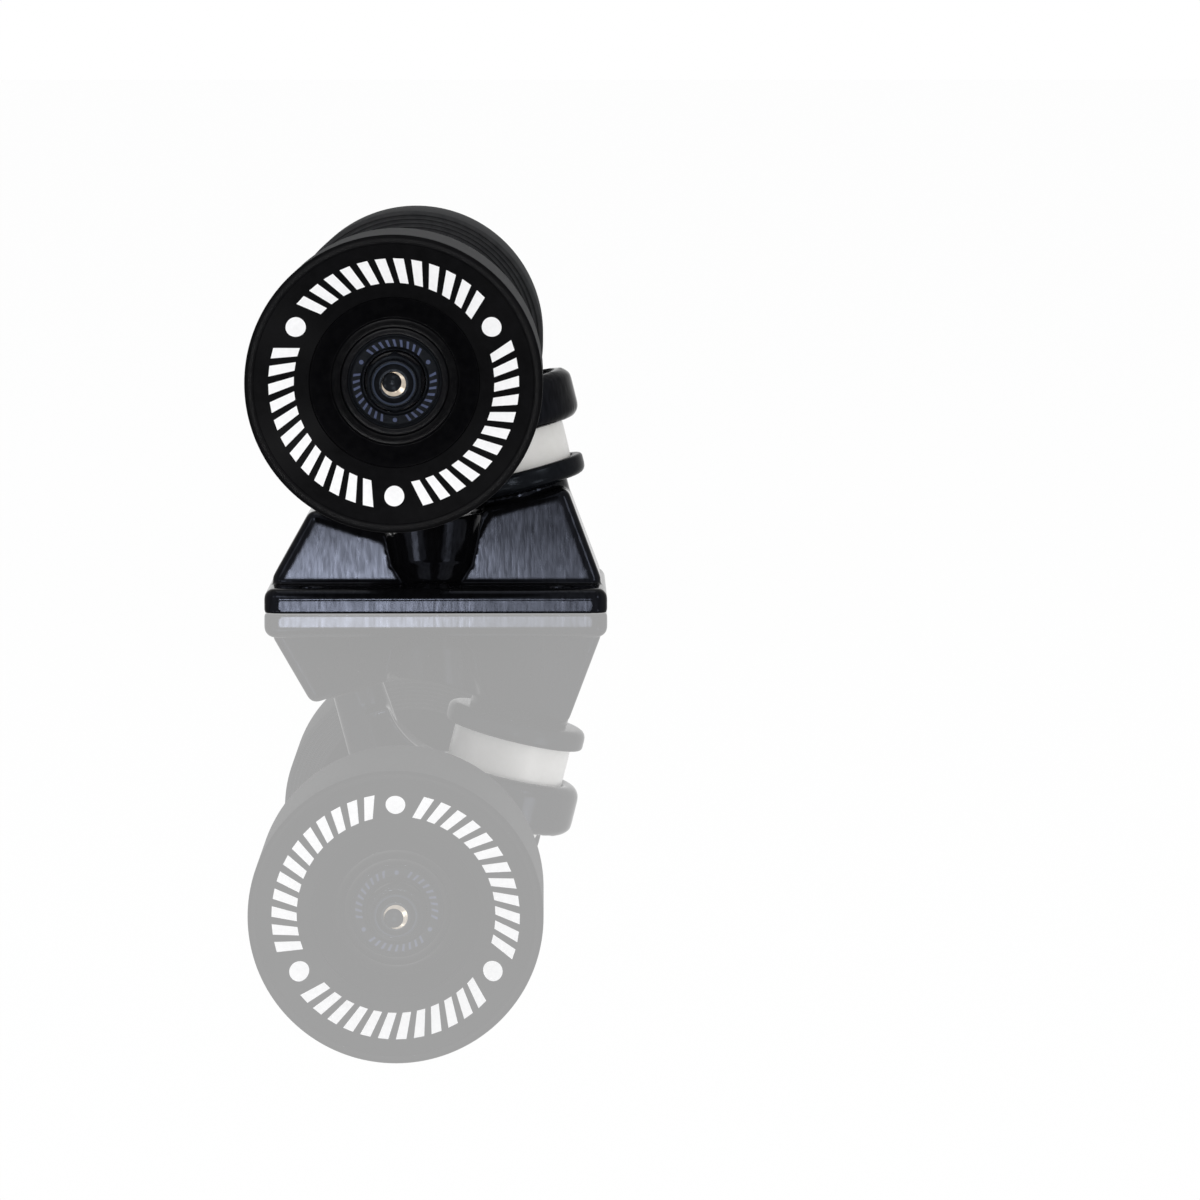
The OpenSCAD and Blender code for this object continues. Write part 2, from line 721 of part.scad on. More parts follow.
module axle_nut_insert(side) {
    color(nylon) on_axle(side, axle_nut_y) lock_nut_insert(axle_nut_h, axle_nut_hex_h, axle_r);
}

module bearing_spacer(side) {
    color(steel) on_axle(side, wheel_y - spacer_length / 2)
        ring(bearing_bore / 2 + spacer_wall, bearing_bore / 2, spacer_length);
}

// Profile of one half of the tyre, from its middle plane to its outer face
function tyre_half() = concat(
    [[core_r, hub_edge()], [lip_r - 2 * lip_w, half_wheel - lip_h]],
    arc(lip_r - lip_w / 2, half_wheel - lip_w / 2, lip_w / 2, lip_w / 2, 150, 90),
    arc(lip_r, half_wheel - shoulder_w, shoulder_h, shoulder_w, 90, 0)
);

function hub_edge() = half_wheel - face_depth;

function mirrored(points) = [for (i = [len(points) - 1 : -1 : 0]) [points[i][0], -points[i][1]]];

module tyre(side) {
    color(urethane_black) on_axle(side, wheel_y) rotate_extrude()
        polygon(concat(tyre_half(), mirrored(tyre_half())));
}

module wheel_core(side) {
    ledge = spacer_length / 2;
    half = [
        [outer_shoulder_r, ledge],
        [bearing_r, ledge],
        [bearing_r, hub_face - hub_ring_chamfer],
        [bearing_r + hub_ring_chamfer, hub_face],
        [hub_ring_r - hub_ring_chamfer, hub_face],
        [hub_ring_r, hub_face - hub_ring_chamfer],
        [core_r, hub_edge() - core_step]
    ];
    color(core_black) on_axle(side, wheel_y) rotate_extrude() polygon(concat(half, mirrored(half)));
}

module race_groove() {
    rotate_extrude() translate([pitch_r, 0]) circle(ball_r + ball_clearance);
}

module outer_race(side, outboard) {
    color(steel) on_bearing(side, outboard) difference() {
        translate([0, 0, -bearing_w / 2]) ring(bearing_r, outer_shoulder_r, bearing_w);
        race_groove();
        translate([0, 0, bearing_w / 2 - shield_t]) cylinder(r = shield_r, h = bearing_w);
    }
}

module inner_race(side, outboard) {
    color(steel) on_bearing(side, outboard) difference() {
        translate([0, 0, -bearing_w / 2]) ring(inner_shoulder_r, bearing_bore / 2, bearing_w);
        race_groove();
    }
}

module on_each_ball() {
    for (i = [0 : ball_count - 1]) rotate(i * 360 / ball_count) translate([pitch_r, 0, 0]) children();
}

module balls(side, outboard) {
    color(steel) on_bearing(side, outboard) on_each_ball() sphere(ball_r);
}

// Crown cage: a ring on the hidden side of the balls, with open pockets
module cage(side, outboard) {
    back = bearing_w / 2 - shield_t;
    color(nylon) on_bearing(side, outboard) difference() {
        translate([0, 0, -back]) ring(pitch_r + cage_w / 2, pitch_r - cage_w / 2, back + cage_reach);
        on_each_ball() sphere(ball_r + cage_clearance);
    }
}

module shield(side, outboard) {
    color(core_black) on_bearing(side, outboard)
        translate([0, 0, bearing_w / 2 - shield_t])
            ring(shield_r, inner_shoulder_r + shield_room, shield_t);
}

baseplate();
pivot_cup();
kingpin();
lower_cup_washer();
deck_bushing();
road_bushing();
upper_washer();
kingpin_nut();
kingpin_nut_insert();
hanger();
axle();
for (side = sides) {
    name = side < 0 ? "left" : "right";
    inner_speed_washer(side);
    outer_speed_washer(side);
    axle_nut(side);
    axle_nut_insert(side);
    bearing_spacer(side);
    tyre(side);
    wheel_core(side);
    for (outboard = [false, true]) {
        row = str(name, outboard ? "_outboard" : "_inboard");
        outer_race(side, outboard);
        inner_race(side, outboard);
        balls(side, outboard);
        cage(side, outboard);
        shield(side, outboard);
    }
}
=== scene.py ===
"""Dresses the skateboard truck: soft cast forms, turned wheels, print, materials, studio and camera."""

import math

import bmesh
import bpy
from mathutils import Matrix, Vector


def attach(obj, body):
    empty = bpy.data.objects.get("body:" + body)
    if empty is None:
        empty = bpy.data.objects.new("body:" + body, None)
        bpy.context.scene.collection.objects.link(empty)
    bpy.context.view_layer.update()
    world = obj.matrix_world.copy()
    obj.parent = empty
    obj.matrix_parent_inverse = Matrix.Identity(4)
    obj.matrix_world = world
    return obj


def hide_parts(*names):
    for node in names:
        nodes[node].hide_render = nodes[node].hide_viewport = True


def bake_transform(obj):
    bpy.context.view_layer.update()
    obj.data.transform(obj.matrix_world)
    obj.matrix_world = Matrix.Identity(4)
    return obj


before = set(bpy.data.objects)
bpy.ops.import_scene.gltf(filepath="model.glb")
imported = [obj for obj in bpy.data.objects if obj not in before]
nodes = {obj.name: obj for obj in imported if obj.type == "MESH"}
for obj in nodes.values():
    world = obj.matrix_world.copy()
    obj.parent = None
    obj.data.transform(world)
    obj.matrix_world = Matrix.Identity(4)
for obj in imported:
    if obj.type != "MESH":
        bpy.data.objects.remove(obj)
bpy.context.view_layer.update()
MM = 0.001
SIDES = {"left": -1, "right": 1}

# Sizes are in millimetres, and profiles are lists of radius, height and, at rounded corners, fillet.

# Castings: grain of the skin and rounds of smoothing
BASEPLATE_SKIN = 0.36
BASEPLATE_ROUNDS = 3
HANGER_SKIN = 0.5
HANGER_ROUNDS = 18
PIVOT_CUP_EDGE = 0.25

# Kingpin group, with heights along the kingpin from its seat (x, z) on the baseplate
KINGPIN_SEAT = (18.0, 23.5)
KINGPIN_TILT = math.radians(14)
KINGPIN_R = 4.75
KINGPIN_HOLE_R = 5.05
KINGPIN_HEAD = (-15.5, -10.0)
KINGPIN_AF = 14.3
HEAD_CHAMFER = 1.2
HEAD_CHAMFER_RISE = 0.72
THREAD = (33.0, 44.5)
THREAD_DEPTH = 0.45
THREAD_PITCH = 1.06
THREAD_CHAMFER = 1.0
KINGPIN_NUT_EDGE = 0.15
CUP_WASHER_FOOT = 1.5
CUP_WASHER = [
    (KINGPIN_HOLE_R, 0, 0.2), (15.5, 0, 3.0), (15.5, 4.4, 0.9),
    (13.15, 4.4, 0.5), (13.15, 1.7, 0.4), (KINGPIN_HOLE_R, 1.7, 0.2),
]
UPPER_WASHER_FOOT = 32.0
UPPER_WASHER = [
    (KINGPIN_HOLE_R, 0, 0.2), (9.0, 0, 0.3), (9.0, 1.2, 0.5), (8.0, 2.0, 0.4), (KINGPIN_HOLE_R, 2.0, 0.2),
]
DECK_BUSHING = (3.2, 17.2)
DECK_BUSHING_R = (12.85, 12.85)
ROAD_BUSHING = (22.0, 32.0)
ROAD_BUSHING_R = (11.6, 8.5)
BUSHING_BULGE = 0.2
BUSHING_STEPS = 8

# Axle at (x, z), with a dimple that is off centre in each end; its end section holds depths, not heights
AXLE = (-6.8, 54.0)
AXLE_R = 3.97
AXLE_END = 101.6
AXLE_CHAMFER = 1.0
AXLE_CUP_R = 2.45
AXLE_DIMPLE_R = 1.95
AXLE_DIMPLE_SHIFT = (-0.38, 0.3)
AXLE_END_SECTION = [
    (0, 0.95), (0.7, 0.9), (1.35, 0.72), (AXLE_DIMPLE_R, 0.42),
    (2.5, 0, 0.12), (2.97, 0, 0.2), (AXLE_R, AXLE_CHAMFER, 0.2),
]
AXLE_NUT_EDGE = 0.14
HANGER_FACE = 68.2
OUTER_WASHER_Y = 93.0
SPEED_WASHER_T = 0.8
SPEED_WASHER_R = (4.0, 5.6)

# Bearings
BEARING_W = 7.0
BEARING_R = 11.0
BORE_R = 4.0
OUTER_SHOULDER = 8.95
OUTER_GROOVE_R = 9.5
INNER_SHOULDER = 6.05
INNER_GROOVE_R = 5.5
GROOVE_HALF = 1.4
SEAL_SEAT_R = 9.55
SEAL_SEAT_DEPTH = 0.5
SPACER = 10.0

# Seal, sunk a little into the bearing; its section holds depths below its face, not heights
SEAL_SINK = 0.05
SEAL_SECTION = [
    (6.27, 0.4, 0.05), (9.53, 0.4, 0.05), (9.53, 0.05, 0.08), (9.2, 0, 0.1), (9.0, 0.16, 0.1),
    (8.75, 0.02, 0.1), (7.0, 0.02, 0.15), (6.6, 0.2, 0.12), (6.27, 0.2, 0.05),
]
SEAL_FACE = 11.93

# Wheel, with heights outwards from its middle
WHEEL_Y = 81.0
TYRE_R = 30.0
TYRE_SEAT = 14.0
TREAD_HALF = 20.8
TREAD_BACK = 19.6
TREAD_SKIN = 0.05
FACE_IN = (17.2, 16.0)
FACE_OUT = (26.8, 21.0)
LIP_FOOT = (28.1, 21.7)
LIP_CREST = (28.6, 21.4)
LIP_CREST_R = 0.6
LIP_SHOULDER = (0.8, 1.2)
BACK_SHOULDER = [(TYRE_R, -19.7), (29.8, -20.2)]
BACK_FACE = -21.0
CORE_HALF = [
    (OUTER_SHOULDER, SPACER / 2, 0.2), (BEARING_R, SPACER / 2, 0.1), (BEARING_R, 12.7, 0.2),
    (12.75, 12.7, 0.3), (13.0, 12.3, 0.3), (13.4, 12.55, 0.4), (FACE_IN[0], 15.6, 0.15),
]

# Fine ridges on the wheel's inward side, each a step closer to the axle and a little lower than the last
RIDGES = 7
RIDGE_R = 29.6
RIDGE_Z = -20.4
RIDGE_STEP = 0.93
RIDGE_FALL = 0.17
RIDGE_SECTION = [(0, 0), (0.2, 0.42), (0.5, 0.45), (0.7, 0.03)]
RIDGE_IN = 23.0

# Print
PRINT_RUNS = 3
DOT_POINTS = 32

# Share of an edge that a fillet may take, and the angles at which shading turns sharp
FILLET_REACH = 0.48
TURNED_ANGLE = 32
AXLE_ANGLE = 28
THREAD_ANGLE = 50
MILLED_ANGLE = 40
BEVEL_ANGLE = 34


# Meshes
def add(name, mesh, material, body, stands_for=()):
    """Puts a dressed piece into the scene, on its body and in place of its solids."""
    obj = bpy.data.objects.new(name, mesh)
    bpy.context.scene.collection.objects.link(obj)
    mesh.materials.clear()
    mesh.materials.append(material)
    if body:
        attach(obj, body)
    if stands_for:
        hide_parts(*stands_for)
    return obj


def smooth(mesh, angle):
    mesh.polygons.foreach_set("use_smooth", [True] * len(mesh.polygons))
    mesh.set_sharp_from_angle(angle=math.radians(angle))


def polar(radius, degrees, height):
    a = math.radians(degrees)
    return (radius * math.cos(a), radius * math.sin(a), height)


def ring(bm, radius, height, count):
    """A ring of points about the local Z axis, or the one point on that axis."""
    if radius == 0:
        return [bm.verts.new((0, 0, height))]
    return [bm.verts.new(polar(radius, 360 * i / count, height)) for i in range(count)]


def skin(bm, rings, closed=False):
    """Joins each ring to the next with faces, and the last one to the first where the loop is closed."""
    pairs = list(zip(rings, rings[1:]))
    if closed:
        pairs.append((rings[-1], rings[0]))
    for low, high in pairs:
        count = max(len(low), len(high))
        for i in range(count):
            j = (i + 1) % count
            corners = [low[i % len(low)], low[j % len(low)], high[j % len(high)], high[i % len(high)]]
            unique = list(dict.fromkeys(corners))
            if len(unique) > 2:
                bm.faces.new(unique)


def capped(bm, rings):
    """Joins the rings and closes both ends."""
    skin(bm, rings)
    bm.faces.new(rings[-1])
    bm.faces.new(list(reversed(rings[0])))


def meshed(name, bm, place):
    """The mesh of a form that was drawn in millimetres about its own axis."""
    bmesh.ops.recalc_face_normals(bm, faces=bm.faces)
    bm.transform(place @ Matrix.Scale(MM, 4))
    mesh = bpy.data.meshes.new(name)
    bm.to_mesh(mesh)
    bm.free()
    return mesh


def fillet(points, closed=True, steps=5):
    """Rounds the corners of a profile at the points that have a fillet."""
    out = []
    count = len(points)
    for i, point in enumerate(points):
        p = Vector(point[:2])
        r = point[2] if len(point) > 2 else 0
        if not r or (not closed and i in (0, count - 1)):
            out.append(p)
            continue
        a = Vector(points[i - 1][:2]) - p
        b = Vector(points[(i + 1) % count][:2]) - p
        half = a.angle(b) / 2
        cut = min(r / math.tan(half), a.length * FILLET_REACH, b.length * FILLET_REACH)
        start = p + a.normalized() * cut
        end = p + b.normalized() * cut
        for k in range(steps + 1):
            t = k / steps
            out.append(start * (1 - t) ** 2 + p * 2 * t * (1 - t) + end * t ** 2)
    return out


def lathe(name, profile, place, segments=128, closed=True, angle=TURNED_ANGLE):
    """Turns a profile about the local Z axis."""
    bm = bmesh.new()
    skin(bm, [ring(bm, r, h, segments) for r, h in profile], closed)
    mesh = meshed(name, bm, place)
    smooth(mesh, angle)
    return mesh


def sunk(section, face):
    """A profile from a section whose second values are depths below a face."""
    return [(point[0], face - point[1]) + tuple(point[2:]) for point in section]


def placed(origin, z_axis, x_axis):
    z = Vector(z_axis).normalized()
    x = Vector(x_axis).normalized()
    turn = Matrix((x, z.cross(x), z)).transposed().to_4x4()
    return Matrix.Translation(Vector(origin) * MM) @ turn


def on_axle(side, y):
    """A place on the axle, with local Z outwards along it."""
    return placed((AXLE[0], side * y, AXLE[1]), (0, side, 0), (1, 0, 0))


def on_kingpin(t):
    """A place at height t on the kingpin, with local Z along it."""
    up = (-math.sin(KINGPIN_TILT), 0, math.cos(KINGPIN_TILT))
    across = (math.cos(KINGPIN_TILT), 0, math.sin(KINGPIN_TILT))
    origin = (KINGPIN_SEAT[0] + t * up[0], 0, KINGPIN_SEAT[1] + t * up[2])
    return placed(origin, up, across)


def axle_distance(x, z):
    return math.hypot(x - AXLE[0], z - AXLE[1])


def baked(obj):
    """The object's mesh with its modifiers applied; the object itself is removed."""
    graph = bpy.context.evaluated_depsgraph_get()
    mesh = bpy.data.meshes.new_from_object(obj.evaluated_get(graph))
    bpy.data.objects.remove(obj)
    return mesh


def copied(node, name):
    """A working copy of a solid's mesh, with its faces welded together."""
    mesh = nodes[node].data.copy()
    mesh.name = name
    bm = bmesh.new()
    bm.from_mesh(mesh)
    bmesh.ops.remove_doubles(bm, verts=bm.verts, dist=1e-6)
    bm.to_mesh(mesh)
    bm.free()
    obj = bpy.data.objects.new(name + ".work", mesh)
    bpy.context.scene.collection.objects.link(obj)
    return obj


def cast(node, name, voxel, rounds):
    """A casting: the solid with its edges and corners melted together."""
    obj = copied(node, name)
    remesh = obj.modifiers.new("skin", "REMESH")
    remesh.mode = "VOXEL"
    remesh.voxel_size = voxel * MM
    soften = obj.modifiers.new("soften", "SMOOTH")
    soften.factor = 0.5
    soften.iterations = rounds
    mesh = baked(obj)
    mesh.polygons.foreach_set("use_smooth", [True] * len(mesh.polygons))
    return mesh


def broken_edges(node, name, width):
    """A turned or milled piece: the solid with its sharp edges broken."""
    obj = copied(node, name)
    bevel = obj.modifiers.new("edges", "BEVEL")
    bevel.limit_method = "ANGLE"
    bevel.angle_limit = math.radians(BEVEL_ANGLE)
    bevel.width = width * MM
    bevel.segments = 2
    mesh = baked(obj)
    smooth(mesh, MILLED_ANGLE)
    return mesh


def joined(name, meshes):
    """One mesh of several, which are removed."""
    bm = bmesh.new()
    for mesh in meshes:
        bm.from_mesh(mesh)
    out = bpy.data.meshes.new(name)
    bm.to_mesh(out)
    bm.free()
    for mesh in meshes:
        bpy.data.meshes.remove(mesh)
    return out


# Materials
NOISE_SPAN = (0.3, 0.7)
EDGE_SPAN = (0.05, 0.5)
CLOUD_DETAIL = 5
CLOUD_ROUGHNESS = 0.6
FINE_DETAIL = 1


def ranged(tree, value, span, low, high):
    """Maps a value's span to the range from low to high and stops at both ends."""
    node = tree.nodes.new("ShaderNodeMapRange")
    node.inputs["From Min"].default_value = span[0]
    node.inputs["From Max"].default_value = span[1]
    node.inputs["To Min"].default_value = low
    node.inputs["To Max"].default_value = high
    tree.links.new(value, node.inputs["Value"])
    return node.outputs["Result"]


def combined(tree, operation, first, second):
    node = tree.nodes.new("ShaderNodeMath")
    node.operation = operation
    tree.links.new(first, node.inputs[0])
    tree.links.new(second, node.inputs[1])
    return node.outputs[0]


def noise(tree, vector, scale, detail):
    node = tree.nodes.new("ShaderNodeTexNoise")
    node.inputs["Scale"].default_value = scale
    node.inputs["Detail"].default_value = detail
    tree.links.new(vector, node.inputs["Vector"])
    return node


def material(name, dark, light, rough, grain, bump, metallic=0.0, specular=0.5, tint=None,
             stretch=(1, 1, 1), fineness=4, patchy=0.0, edge=1.0):
    """Noise moves the colour and the roughness between two values each, with a fine bump.

    A patchy finish also has a gloss that rises and falls with the bump, by that share of its level.
    Edge is the share of the gloss that is left where the surface is seen from the side.
    """
    mat = bpy.data.materials.new(name)
    mat.use_nodes = True
    tree = mat.node_tree
    shader = tree.nodes["Principled BSDF"]
    shader.inputs["Metallic"].default_value = metallic
    if tint:
        shader.inputs["Specular Tint"].default_value = (*tint, 1)

    where = tree.nodes.new("ShaderNodeTexCoord")
    spread = tree.nodes.new("ShaderNodeMapping")
    spread.inputs["Scale"].default_value = stretch
    tree.links.new(where.outputs["Object"], spread.inputs["Vector"])
    cloud = noise(tree, spread.outputs["Vector"], grain, CLOUD_DETAIL)
    cloud.inputs["Roughness"].default_value = CLOUD_ROUGHNESS
    fine = noise(tree, spread.outputs["Vector"], grain * fineness, FINE_DETAIL)

    ramp = tree.nodes.new("ShaderNodeValToRGB")
    for element, position, colour in zip(ramp.color_ramp.elements, NOISE_SPAN, (dark, light)):
        element.position = position
        element.color = (*colour, 1)
    tree.links.new(cloud.outputs["Fac"], ramp.inputs["Fac"])
    tree.links.new(ramp.outputs["Color"], shader.inputs["Base Color"])
    gloss = ranged(tree, cloud.outputs["Fac"], NOISE_SPAN, rough[0], rough[1])
    tree.links.new(gloss, shader.inputs["Roughness"])

    lift = tree.nodes.new("ShaderNodeBump")
    lift.inputs["Strength"].default_value = 1
    lift.inputs["Distance"].default_value = bump * MM
    tree.links.new(fine.outputs["Fac"], lift.inputs["Height"])
    tree.links.new(lift.outputs["Normal"], shader.inputs["Normal"])

    aside = tree.nodes.new("ShaderNodeLayerWeight").outputs["Facing"]
    shine = ranged(tree, aside, EDGE_SPAN, specular, specular * edge)
    patches = ranged(tree, fine.outputs["Fac"], NOISE_SPAN, 1 - patchy, 1 + patchy)
    shine = combined(tree, "MULTIPLY", shine, patches)
    tree.links.new(shine, shader.inputs["Specular IOR Level"])
    return mat


paint = material(
    "cast_paint", dark=(0.002, 0.002, 0.0024), light=(0.004, 0.004, 0.0048), rough=(0.09, 0.14), grain=240,
    bump=0.008, specular=0.1, tint=(0.7, 0.77, 1.0), stretch=(4.0, 4.0, 0.6), fineness=1.5, patchy=0.3,
    edge=0.3,
)
urethane = material(
    "urethane", dark=(0.002, 0.002, 0.0023), light=(0.004, 0.004, 0.0046), rough=(0.3, 0.4), grain=420,
    bump=0.003, specular=0.03, edge=0.06,
)
ground_urethane = material(
    "ground_urethane", dark=(0.022, 0.0225, 0.024), light=(0.034, 0.0345, 0.036), rough=(0.65, 0.75),
    grain=500, bump=0.01, specular=0.04,
)
core_plastic = material(
    "core_plastic", dark=(0.002, 0.002, 0.0025), light=(0.004, 0.004, 0.0045), rough=(0.1, 0.15), grain=500,
    bump=0.001, specular=0.012, edge=0.06,
)
seal = material(
    "seal", dark=(0.003, 0.0034, 0.0045), light=(0.006, 0.0066, 0.008), rough=(0.24, 0.34), grain=700,
    bump=0.002, specular=0.02, tint=(0.8, 0.88, 1.0), edge=0.06,
)
steel = material(
    "steel", dark=(0.42, 0.39, 0.35), light=(0.56, 0.53, 0.48), rough=(0.2, 0.34), grain=900,
    bump=0.002, metallic=1,
)
axle_steel = material(
    "axle_steel", dark=(0.42, 0.36, 0.29), light=(0.6, 0.53, 0.44), rough=(0.16, 0.26), grain=900,
    bump=0.002, metallic=1,
)
black_steel = material(
    "black_steel", dark=(0.003, 0.0034, 0.0045), light=(0.006, 0.0068, 0.0085), rough=(0.16, 0.26),
    grain=800, bump=0.001, specular=0.07, tint=(0.75, 0.85, 1.0), edge=0.3,
)
race_steel = material(
    "race_steel", dark=(0.004, 0.004, 0.005), light=(0.007, 0.007, 0.008), rough=(0.12, 0.18), grain=900,
    bump=0.001, specular=0.015, edge=0.06,
)
white_rubber = material(
    "white_rubber", dark=(0.84, 0.83, 0.8), light=(0.9, 0.89, 0.87), rough=(0.3, 0.42), grain=350,
    bump=0.004, specular=0.4,
)
white_ink = material(
    "white_ink", dark=(0.86, 0.86, 0.87), light=(0.93, 0.93, 0.94), rough=(0.45, 0.6), grain=900,
    bump=0.003, specular=0.1,
)
blue_ink = material(
    "blue_ink", dark=(0.034, 0.046, 0.1), light=(0.058, 0.074, 0.145), rough=(0.4, 0.55), grain=900,
    bump=0.002, specular=0.2,
)
nylon = material(
    "nylon", dark=(0.018, 0.027, 0.048), light=(0.027, 0.036, 0.06), rough=(0.4, 0.5), grain=600,
    bump=0.004, specular=0.08,
)
cup_rubber = material(
    "cup_rubber", dark=(0.004, 0.004, 0.005), light=(0.008, 0.008, 0.009), rough=(0.5, 0.62), grain=500,
    bump=0.006, specular=0.15,
)

# Castings
baseplate = cast("baseplate", "baseplate_cast", BASEPLATE_SKIN, BASEPLATE_ROUNDS)
add("baseplate_cast", baseplate, paint, "base", ["baseplate"])
hanger = cast("hanger", "hanger_cast", HANGER_SKIN, HANGER_ROUNDS)
add("hanger_cast", hanger, paint, "hanger", ["hanger"])
pivot_cup = broken_edges("pivot_cup", "pivot_cup_moulding", PIVOT_CUP_EDGE)
add("pivot_cup_moulding", pivot_cup, cup_rubber, "base", ["pivot_cup"])


# Kingpin group
def hexagon_head(name, place, height):
    """A hexagon with a chamfered face at its low end."""
    bm = bmesh.new()
    corner = KINGPIN_AF / math.sqrt(3)
    levels = [(corner - HEAD_CHAMFER, 0), (corner, HEAD_CHAMFER_RISE), (corner, height)]
    capped(bm, [ring(bm, r, h, 6) for r, h in levels])
    return meshed(name, bm, place)


def threaded(name, place, length, segments=64, per_turn=12):
    """A rod whose surface follows a single-start thread, with a chamfer at its high end."""
    bm = bmesh.new()
    rows = int(length / THREAD_PITCH * per_turn)
    rings = []
    for k in range(rows + 1):
        h = length * k / rows
        chamfer = max(0, h - (length - THREAD_CHAMFER))
        row = []
        for i in range(segments):
            phase = (h / THREAD_PITCH - i / segments) % 1
            r = KINGPIN_R - max(THREAD_DEPTH * abs(2 * phase - 1), chamfer)
            row.append(bm.verts.new(polar(r, 360 * i / segments, h)))
        rings.append(row)
    capped(bm, rings)
    mesh = meshed(name, bm, place)
    smooth(mesh, THREAD_ANGLE)
    return mesh


def bushing(name, node, span, radii):
    """A moulded bushing between the base and the hanger, round about the kingpin."""
    low, high = span
    height = high - low
    profile = [(KINGPIN_HOLE_R, 0, 0.3), (radii[0], 0, 0.5)]
    for k in range(1, BUSHING_STEPS):
        share = k / BUSHING_STEPS
        r = radii[0] + (radii[1] - radii[0]) * share + BUSHING_BULGE * math.sin(math.pi * share)
        profile.append((r, height * share))
    profile += [(radii[1], height, 0.6), (KINGPIN_HOLE_R, height, 0.3)]
    mesh = lathe(name, fillet(profile), on_kingpin(low))
    obj = add(name, mesh, white_rubber, None, [node])
    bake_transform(obj)


head = hexagon_head("head", on_kingpin(KINGPIN_HEAD[0]), KINGPIN_HEAD[1] - KINGPIN_HEAD[0])
shank_profile = [(0, KINGPIN_HEAD[1]), (KINGPIN_R, KINGPIN_HEAD[1]), (KINGPIN_R, THREAD[0]), (0, THREAD[0])]
shank = lathe("shank", shank_profile, on_kingpin(0), closed=False)
thread = threaded("thread", on_kingpin(THREAD[0]), THREAD[1] - THREAD[0])
bolt = joined("kingpin_bolt", [head, shank, thread])
add("kingpin_bolt", bolt, black_steel, "base", ["kingpin"])
kingpin_nut = broken_edges("kingpin_nut", "kingpin_lock_nut", KINGPIN_NUT_EDGE)
add("kingpin_lock_nut", kingpin_nut, black_steel, "base", ["kingpin_nut"])
cup_washer = lathe("lower_washer_turned", fillet(CUP_WASHER), on_kingpin(CUP_WASHER_FOOT))
add("lower_washer_turned", cup_washer, black_steel, "base", ["lower_cup_washer"])
upper_washer = lathe("upper_washer_turned", fillet(UPPER_WASHER), on_kingpin(UPPER_WASHER_FOOT))
add("upper_washer_turned", upper_washer, black_steel, "base", ["upper_washer"])
bushing("deck_bushing_moulded", "deck_bushing", DECK_BUSHING, DECK_BUSHING_R)
bushing("road_bushing_moulded", "road_bushing", ROAD_BUSHING, ROAD_BUSHING_R)


# Axle with its turned ends
def finished(obj, finish, where):
    """Gives a second finish to the faces that lie where the test on (radius, y) about the axle holds."""
    obj.data.materials.append(finish)
    for polygon in obj.data.polygons:
        x, y, z = polygon.center / MM
        polygon.material_index = int(where(axle_distance(x, z), y))


def oxide_and_painted_shade(r, y):
    """The axle outside the wheels: black oxide on its thread, and painted shade on its end face around the
    dimple, its chamfer and the dimple's bottom, apart from the bright wall of its dimple.
    """
    return abs(y) > OUTER_WASHER_Y and not AXLE_DIMPLE_R < r < AXLE_CUP_R


axle_half = fillet(sunk(AXLE_END_SECTION, AXLE_END) + [(AXLE_R, 0)], closed=False)
axle_profile = axle_half + [Vector((r, -h)) for r, h in reversed(axle_half[:-1])]
axle_mesh = lathe("axle_turned", axle_profile, on_axle(1, 0), closed=False, angle=AXLE_ANGLE)
axle = add("axle_turned", axle_mesh, axle_steel, "hanger", ["axle"])
# Black steel at the axle's ends: black oxide on the thread, painted shade on the end face, chamfer and
# dimple bottom
finished(axle, black_steel, oxide_and_painted_shade)
for vertex in axle.data.vertices:
    x, y, z = vertex.co / MM
    if abs(y) > AXLE_END - AXLE_CHAMFER and axle_distance(x, z) < AXLE_DIMPLE_R + 0.01:
        vertex.co += Vector((AXLE_DIMPLE_SHIFT[0], 0, AXLE_DIMPLE_SHIFT[1])) * MM


# Wheels
def arc(centre, radii, start, end, steps):
    points = []
    for k in range(steps + 1):
        a = math.radians(start + (end - start) * k / steps)
        points.append(Vector((centre[0] + radii[0] * math.cos(a), centre[1] + radii[1] * math.sin(a))))
    return points


def tyre_profile():
    """Outwards a plain rounded lip; inwards a flat lip with fine turned ridges."""
    inner_edge = (FACE_IN[0], TYRE_SEAT)
    shoulder = (TYRE_R - LIP_SHOULDER[0], TREAD_HALF)
    lip = fillet([inner_edge, FACE_IN + (0.3,), FACE_OUT + (0.8,), LIP_FOOT + (0.2,)], closed=False)
    lip += arc(LIP_CREST, (LIP_CREST_R, LIP_CREST_R), 140, 90, 4)
    lip += arc(shoulder, LIP_SHOULDER, 90, 0, 10)
    back = list(BACK_SHOULDER)
    for k in range(RIDGES):
        r = RIDGE_R - RIDGE_STEP * k
        z = RIDGE_Z - RIDGE_FALL * k
        back += [(r - inwards, z - outwards) for inwards, outwards in RIDGE_SECTION]
    back.append((RIDGE_R - RIDGE_STEP * RIDGES, BACK_FACE))
    back += [(FACE_IN[0], -FACE_IN[1]), (FACE_IN[0], -TYRE_SEAT)]
    return lip + [Vector(p) for p in back]


def ground(r, y):
    """The tread and the ridged back of a tyre."""
    return r > TYRE_R - TREAD_SKIN or (r > RIDGE_IN and abs(y) < WHEEL_Y - TREAD_BACK)


def face_height(r):
    """The height of the tyre's printed face."""
    share = (r - FACE_IN[0]) / (FACE_OUT[0] - FACE_IN[0])
    return FACE_IN[1] + share * (FACE_OUT[1] - FACE_IN[1])


def seal_height(r):
    """The height of the seal's face, which is flat."""
    return SEAL_FACE


def ink_patch(bm, outline, height, lift):
    """A thin patch of ink on a turned face; outline holds (angle in degrees, radius) points."""
    top = [bm.verts.new(polar(r, a, height(r) + lift)) for a, r in outline]
    low = [bm.verts.new(polar(r, a, height(r) - lift)) for a, r in outline]
    bm.faces.new(top)
    count = len(outline)
    for i in range(count):
        j = (i + 1) % count
        bm.faces.new((top[i], low[i], low[j], top[j]))


